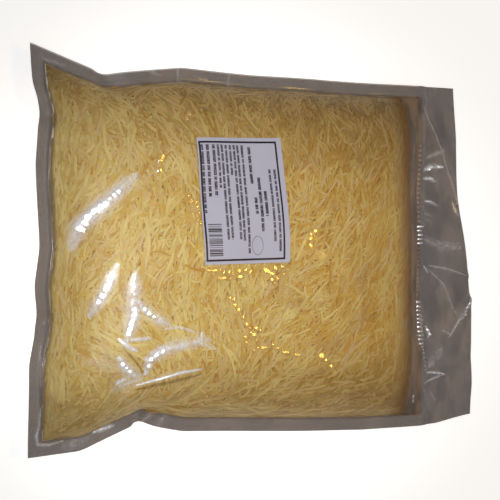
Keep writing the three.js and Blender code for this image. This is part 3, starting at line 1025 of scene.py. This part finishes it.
def spread_at_edges(count, seed):
    """count places (a, b) close to the seams at the pouch's end and sides."""
    draw = np.random.default_rng(seed)
    inwards = EDGE_WIDTH * draw.uniform(0, 1, count) ** 2
    edge, share = draw.choice(3, count, p=(0.3, 0.35, 0.35)), draw.uniform(0.002, 0.95, count)
    a = np.where(edge == 0, inwards, share)
    b = np.where(edge == 0, share, np.where(edge == 1, inwards, 1 - inwards))
    return a + CHEESE_AREA["a"][0], np.clip(b, *CHEESE_AREA["b"])


def spread_in_corners(count, seed):
    """count places (a, b) in the two corners at the maker's end seal."""
    draw = np.random.default_rng(seed)
    a, inwards = CORNER_REACH * draw.uniform(0, 1, (2, count)) ** 1.5
    return a + CHEESE_AREA["a"][0], np.where(draw.uniform(size=count) < 0.5, inwards, 1 - inwards)


def grain_heading(a, b, x, y):
    """The way that most shreds lie at a place, and how closely they keep to it, from 0 to 1."""
    middle, near, corner = (math.radians(GRAIN[place]) for place in ("middle", "near", "corner"))
    heading = middle + GRAIN["swing"] * Hills(11)(x, y, GRAIN["length"])
    heading = lerp(heading, near, 1 - between(y, -125, -75))
    heading = lerp(heading, corner, between(y, 40, 95) * (1 - between(x, -90, -30)))
    to_end = 1 - between(a, 0.01, 0.05)
    heading = lerp(heading, math.pi / 2, to_end)
    to_side = 1 - between(np.minimum(b, 1 - b), 0.01, 0.05)
    return lerp(heading, GRAIN["seam"], to_side), np.maximum(to_side, to_end)


def bent_lines(side, a, b, heading, bend, curl, lengths, segments):
    """(a, b, heading) at the stations of lines over a film, which bend both ways from their middles."""
    stations = {0: (a, b, heading)}
    for way in (1, -1):
        a, b, turned = stations[0]
        for step in range(1, segments // 2 + 1):
            turned = turned + way * (bend + curl * way * step) / segments
            a, b = stride(side, a, b, turned, way * lengths / segments)
            stations[way * step] = (a, b, turned)
    order = sorted(stations)
    return [np.stack([stations[step][k] for step in order], 1) for k in range(3)]


def all_in_cheese(a, b):
    """Which lines have all their stations in the cheese."""
    lengthways = (a > CHEESE_AREA["a"][0]) & (a < cheese_end(b))
    return (lengthways & (b > CHEESE_AREA["b"][0]) & (b < CHEESE_AREA["b"][1])).all(1)


def strip_corners(centre, forth, normal, roll, half_width, half_thickness):
    """The four corners at every station of strips that are rolled about their own length."""
    aside = np.cross(normal, forth)
    left = aside * np.cos(roll)[..., None] + normal * np.sin(roll)[..., None]
    half_wide = half_width[..., None] * left
    half_thick = half_thickness[..., None] * np.cross(forth, left)
    corners = [centre + p * half_wide + q * half_thick for p, q in ((-1, -1), (1, -1), (1, 1), (-1, 1))]
    return np.stack(corners, 2)


def shreds(name, finish, spreading, count, seed, side, length, layers, shape=None, segments=4, spread=0.6):
    """Joined strips of cheese that lie along the film, each with its own bend and tilt."""
    draw = np.random.default_rng(seed)
    a, b = spreading(count, seed)
    width, thick = shape or USUAL_SHAPE
    heading, closeness = grain_heading(a, b, *plan(a, b))
    heading = heading + draw.normal(0, spread, count) * (1 - 0.75 * closeness)
    bend = np.radians(draw.normal(0, SHRED["bend"], count)) * (1 - 0.7 * closeness)
    curl = np.radians(draw.normal(0, SHRED["curl"], count))
    lengths = draw.triangular(length[0], lerp(*length, 0.35), length[1], count)
    lengths = lengths * (1 - 0.3 * closeness)
    widths = draw.uniform(*width, count)
    thicks = draw.uniform(*thick, count)
    tilt = draw.normal(0, SHRED["tilt"], count) * (1 - closeness)
    depth = draw.uniform(0, 1, count) ** 1.5 * layers
    a, b, turned = bent_lines(side, a, b, heading, bend, curl, lengths, segments)
    share = np.arange(segments + 1) / segments - 0.5
    kept = all_in_cheese(a, b)
    a, b, turned = a[kept], b[kept], turned[kept]
    widths, thicks, tilt, depth = (v[kept][:, None] for v in (widths, thicks, tilt, depth))
    sunk = depth + np.abs(tilt) + 2 * tilt * share + thicks / 2 + 0.1
    centre = inside_cheese(side, a, b, sunk)
    along_a, _, normal = ways_along(side, a, b)
    forth = direction(along_a, normal, turned)
    roll = draw.normal(0, SHRED["roll"], len(a))[:, None] * np.minimum(1, depth)
    taper = np.where(np.abs(share) == 0.5, SHRED["end"], 1)
    taper = taper * (1 + SHRED["unevenness"] * draw.normal(0, 1, a.shape))
    points = strip_corners(centre, forth, normal, roll, widths / 2 * taper, thicks / 2 * taper)
    points[..., 2] = np.maximum(points[..., 2], FILM)
    tones = np.clip(draw.normal(0.45, 0.3, len(a)), 0, 1)
    return strips(name, finish, points, tones, (depth / layers)[:, 0])


def strips(name, finish, points, tones, depths):
    """One piece of closed strips, from an array of strips by stations by 4 corners by XYZ."""
    count, stations = points.shape[:2]
    ring = np.arange(4)
    following = (ring + 1) % 4
    sides = []
    for station in range(stations - 1):
        low, high = station * 4, station * 4 + 4
        sides.append(np.stack([low + ring, low + following, high + following, high + ring], 1))
    last = (stations - 1) * 4
    ends = np.array([[3, 2, 1, 0], [last, last + 1, last + 2, last + 3]])
    faces = np.concatenate([*sides, ends])
    every = (faces[None] + (np.arange(count) * stations * 4)[:, None, None]).reshape(-1, 4)
    mesh = bpy.data.meshes.new(name)
    mesh.from_pydata((points.reshape(-1, 3) * MM).tolist(), [], every.tolist())
    piece = piece_from(mesh, name, finish)
    mark_points(piece, "tone", np.repeat(tones, stations * 4))
    mark_points(piece, "depth", np.repeat(depths, stations * 4))
    return piece


def core(finish):
    """The heap's inside, uneven, that shows between the shreds."""
    bumps = Hills(23)

    def place(a, b, level):
        a = np.minimum(a, cheese_end(b) - 0.004)
        x, y = plan(a, b)
        depth = HEAP["depth"] + HEAP["unevenness"] * bumps(x, y, HEAP["lumps"])
        return np.where(level[:, None] > 0.5, inside_cheese(1, a, b, depth), inside_cheese(-1, a, b, depth))

    rows = lerp(HEAP["edge"], 1 - HEAP["edge"], crowded(HEAP["rows"]))
    columns = lerp(HEAP["edge"], CHEESE_AREA["a"][1] + UNEVEN_END, crowded(HEAP["columns"]))
    return slab("cheese_heap", finish, columns, rows, place)


# ---- The label ----
# u runs from 0 to 1 along its short side, away from the pouch's end, and v along its long side.

INK_RISE = 0.02
INK = 0.03
FRAME = {"u": (0.015, 0.943), "v": (0.024, 0.972), "line": 1.5}
BARS = {"u": (0.056, 0.21), "v": (0.065, 0.32), "seed": 6}
OVAL = {"at": (0.62, 0.14), "half": (4.7, 7.2), "line": 0.35, "steps": 32}
WORDS = {"length": (2.5, 10), "gap": 0.9, "seed": 12}

# Rows of words: (u, the v where the row starts, the v where it ends).
BOLD_ROWS = [
    (0.112, 0.945, 0.53), (0.183, 0.945, 0.53), (0.608, 0.925, 0.63), (0.633, 0.52, 0.39),
    (0.69, 0.68, 0.25), (0.75, 0.57, 0.37),
]
FINE_ROWS = [
    (0.05, 0.945, 0.4), (0.237, 0.945, 0.6), (0.282, 0.945, 0.19), (0.33, 0.94, 0.19), (0.38, 0.94, 0.7),
    (0.427, 0.94, 0.19), (0.47, 0.94, 0.17), (0.524, 0.94, 0.08), (0.828, 0.745, 0.16), (0.888, 0.745, 0.085),
]
ROW_HEIGHT = {"bold": 2.4, "fine": 1.9}


def on_label(u, v, height):
    """A place over the label's spot on the film."""
    a, b = (np.full(u.shape, float(value)) for value in LABEL["at"])
    turn = np.full(u.shape, math.radians(LABEL["turn"]))
    steps = 12
    for _ in range(steps):
        a, b = stride(1, a, b, turn + math.pi / 2, (v - 0.5) * LABEL["height"] / steps)
    for _ in range(steps):
        a, b = stride(1, a, b, turn, (u - 0.5) * LABEL["width"] / steps)
    return sheet(1, a, b) + ways_along(1, a, b)[2] * height[..., None]


def label_piece(finish):
    def place(u, v, level):
        return on_label(u, v, LABEL["gap"] + LABEL["thickness"] * level)

    return slab("label_sheet", finish, np.linspace(0, 1, 25), np.linspace(0, 1, 33), place)


def block(u, v):
    """A mark that fills a stretch of u and of v."""
    steps = max(1, round((v[1] - v[0]) * LABEL["height"] / 5))
    return steps, lambda along, across: (lerp(*u, across), lerp(*v, along))


def line_across(u, v):
    """The same for a mark that is long in u."""
    steps = max(1, round((u[1] - u[0]) * LABEL["width"] / 5))
    return steps, lambda along, across: (lerp(*u, along), lerp(*v, across))


def frame_marks():
    (u0, u1), (v0, v1) = FRAME["u"], FRAME["v"]
    wide, high = FRAME["line"] / LABEL["width"], FRAME["line"] / LABEL["height"]
    sides = [block((u, u + wide), (v0, v1)) for u in (u0, u1 - wide)]
    inner = (u0 + wide, u1 - wide)
    return sides + [line_across(inner, (v, v + high)) for v in (v0, v1 - high)]


def bar_marks():
    """Plain bars of random thickness."""
    draw = np.random.default_rng(BARS["seed"])
    v, marks = BARS["v"][0], []
    while v < BARS["v"][1]:
        thick, gap = draw.choice((0.3, 0.6, 1.0), 2, p=(0.5, 0.35, 0.15)) / LABEL["height"]
        marks.append(line_across(BARS["u"], (v, v + thick)))
        v += thick + gap
    return marks


def oval_mark():
    def place(along, across):
        turn = 2 * math.pi * along
        inset = OVAL["line"] * across
        u = OVAL["at"][0] + (OVAL["half"][0] - inset) * math.cos(turn) / LABEL["width"]
        return u, OVAL["at"][1] + (OVAL["half"][1] - inset) * math.sin(turn) / LABEL["height"]

    return OVAL["steps"], place


def word_marks(rows, height):
    """Blocks as long as words, in rows."""
    draw = np.random.default_rng(WORDS["seed"])
    half = height / LABEL["width"] / 2
    marks = []
    for u, v, end in rows:
        while v > end:
            length = draw.uniform(*WORDS["length"]) / LABEL["height"]
            marks.append(block((u - half, u + half), (max(v - length, end), v)))
            v -= length + WORDS["gap"] / LABEL["height"]
    return marks


def print_piece(name, finish, marks):
    """Marks on the label. Each is a number of steps and a way from a unit square to (u, v)."""
    shape = bmesh.new()
    for steps, mark in marks:
        made = bmesh.ops.create_grid(shape, x_segments=steps, y_segments=1, size=0.5)
        for vertex in made["verts"]:
            vertex.co.xy = mark(vertex.co.x + 0.5, vertex.co.y + 0.5)
    base = LABEL["gap"] + LABEL["thickness"] + INK_RISE
    return lifted(shape, name, finish, lambda u, v, level: on_label(u, v, base + INK * level))


# ---- The pouch ----

# A shred's width and thickness, from least to most.
USUAL_SHAPE = ((1.4, 2.3), (0.9, 1.4))
SMALL_SHAPE = ((1.1, 1.8), (0.7, 1.1))
CRUMB_SHAPE = ((1, 1.7), (0.6, 1))

light = cheese_finish("light_shreds", tint("light shred"), tint("light shred's gold"))
golden = cheese_finish("golden_shreds", tint("golden shred"), tint("golden shred's gold"))

# Each kind of shred: its name and finish, how it is spread, how many are drawn, its seed, the side
# of the film that it lies along, its length, how deep it lies, and what else differs.
SHRED_KINDS = [
    ("long_shreds", light, spread_evenly, 3700, 5, 1, (22, 46), 1.8, {"segments": 6, "spread": 0.4}),
    ("light_shreds", light, spread_evenly, 5200, 900, 1, (10, 28), 2.6, {"spread": 0.45}),
    ("golden_shreds", golden, spread_evenly, 5200, 7000, 1, (10, 28), 3.2, {"spread": 0.7}),
    (
        "small_shreds", light, spread_evenly, 6000, 4000, 1, (5, 15), 1.4,
        {"shape": SMALL_SHAPE, "segments": 2, "spread": 0.9},
    ),
    ("edge_shreds", light, spread_at_edges, 2400, 61, 1, (6, 20), 2, {}),
    (
        "corner_crumbs", light, spread_in_corners, 900, 63, 1, (3, 8), 0.8,
        {"shape": CRUMB_SHAPE, "segments": 2, "spread": 1.6},
    ),
    ("low_edge_shreds", light, spread_at_edges, 2000, 62, -1, (6, 20), 2, {}),
    ("under_shreds", light, spread_evenly, 3600, 2000, -1, (12, 32), 2.2, {"spread": 0.9}),
]
filling = [*pouch_films(film_finish()), core(core_finish())]
filling += [shreds(*kind, **others) for *kind, others in SHRED_KINDS]
for piece in filling:
    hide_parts("bag")

bold_rows = word_marks(BOLD_ROWS, ROW_HEIGHT["bold"])
fine_rows = word_marks(FINE_ROWS, ROW_HEIGHT["fine"])
printed = [
    label_piece(label_finish()),
    print_piece("label_frame", ink_finish("frame_ink", "dark ink", "dark ink"), frame_marks()),
    print_piece("label_bold_rows", ink_finish("bold_ink", "dark ink", "pale ink"), bold_rows),
    print_piece("label_fine_rows", ink_finish("fine_ink", "grey ink", "pale ink"), fine_rows + [oval_mark()]),
    print_piece("label_bars", ink_finish("bar_ink", "dark ink", "grey ink"), bar_marks()),
]
for piece in printed:
    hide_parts("label")

# ---- The table, the camera and the light ----


def table():
    shape = bmesh.new()
    bmesh.ops.create_grid(shape, x_segments=1, y_segments=1, size=4)
    bmesh.ops.translate(shape, vec=(0, 0, -0.0005), verts=shape.verts[:])
    mesh = bpy.data.meshes.new("table_top")
    shape.to_mesh(mesh)
    shape.free()
    mesh.materials.append(table_finish())
    top = bpy.data.objects.new("table_top", mesh)
    bpy.context.scene.collection.objects.link(top)


def camera():
    data = bpy.data.cameras.new("camera")
    data.lens, data.sensor_width = LENS, SENSOR
    eye = bpy.data.objects.new("camera", data)
    back, up = Vector(TOWARDS_CAMERA), Vector((0, 1, 0))
    turned = Matrix((up.cross(back), up, back)).transposed().to_4x4()
    eye.matrix_world = Matrix.Translation(EYE * MM) @ turned
    bpy.context.scene.collection.objects.link(eye)
    bpy.context.scene.camera = eye


def lamps():
    for name, lamp in LAMPS.items():
        data = bpy.data.lights.new(name, "SPOT")
        data.spot_size, data.spot_blend = math.radians(lamp["cone"]), 1
        data.shadow_soft_size = lamp["radius"] * MM
        data.energy, data.color = lamp["watts"], lamp["colour"]
        source = bpy.data.objects.new(name, data)
        source.location = lamp["place"] * MM
        source.rotation_euler = Vector(lamp["place"] - lamp["aim"]).to_track_quat("Z", "Y").to_euler()
        bpy.context.scene.collection.objects.link(source)


def room():
    world = bpy.data.worlds.new("soft_room")
    world.use_nodes = True
    world.node_tree.nodes["Background"].inputs["Color"].default_value = (0.93, 0.96, 1, 1)
    world.node_tree.nodes["Background"].inputs["Strength"].default_value = 0.28
    bpy.context.scene.world = world
    bpy.context.scene.view_settings.view_transform = "Standard"


table()
camera()
lamps()
room()
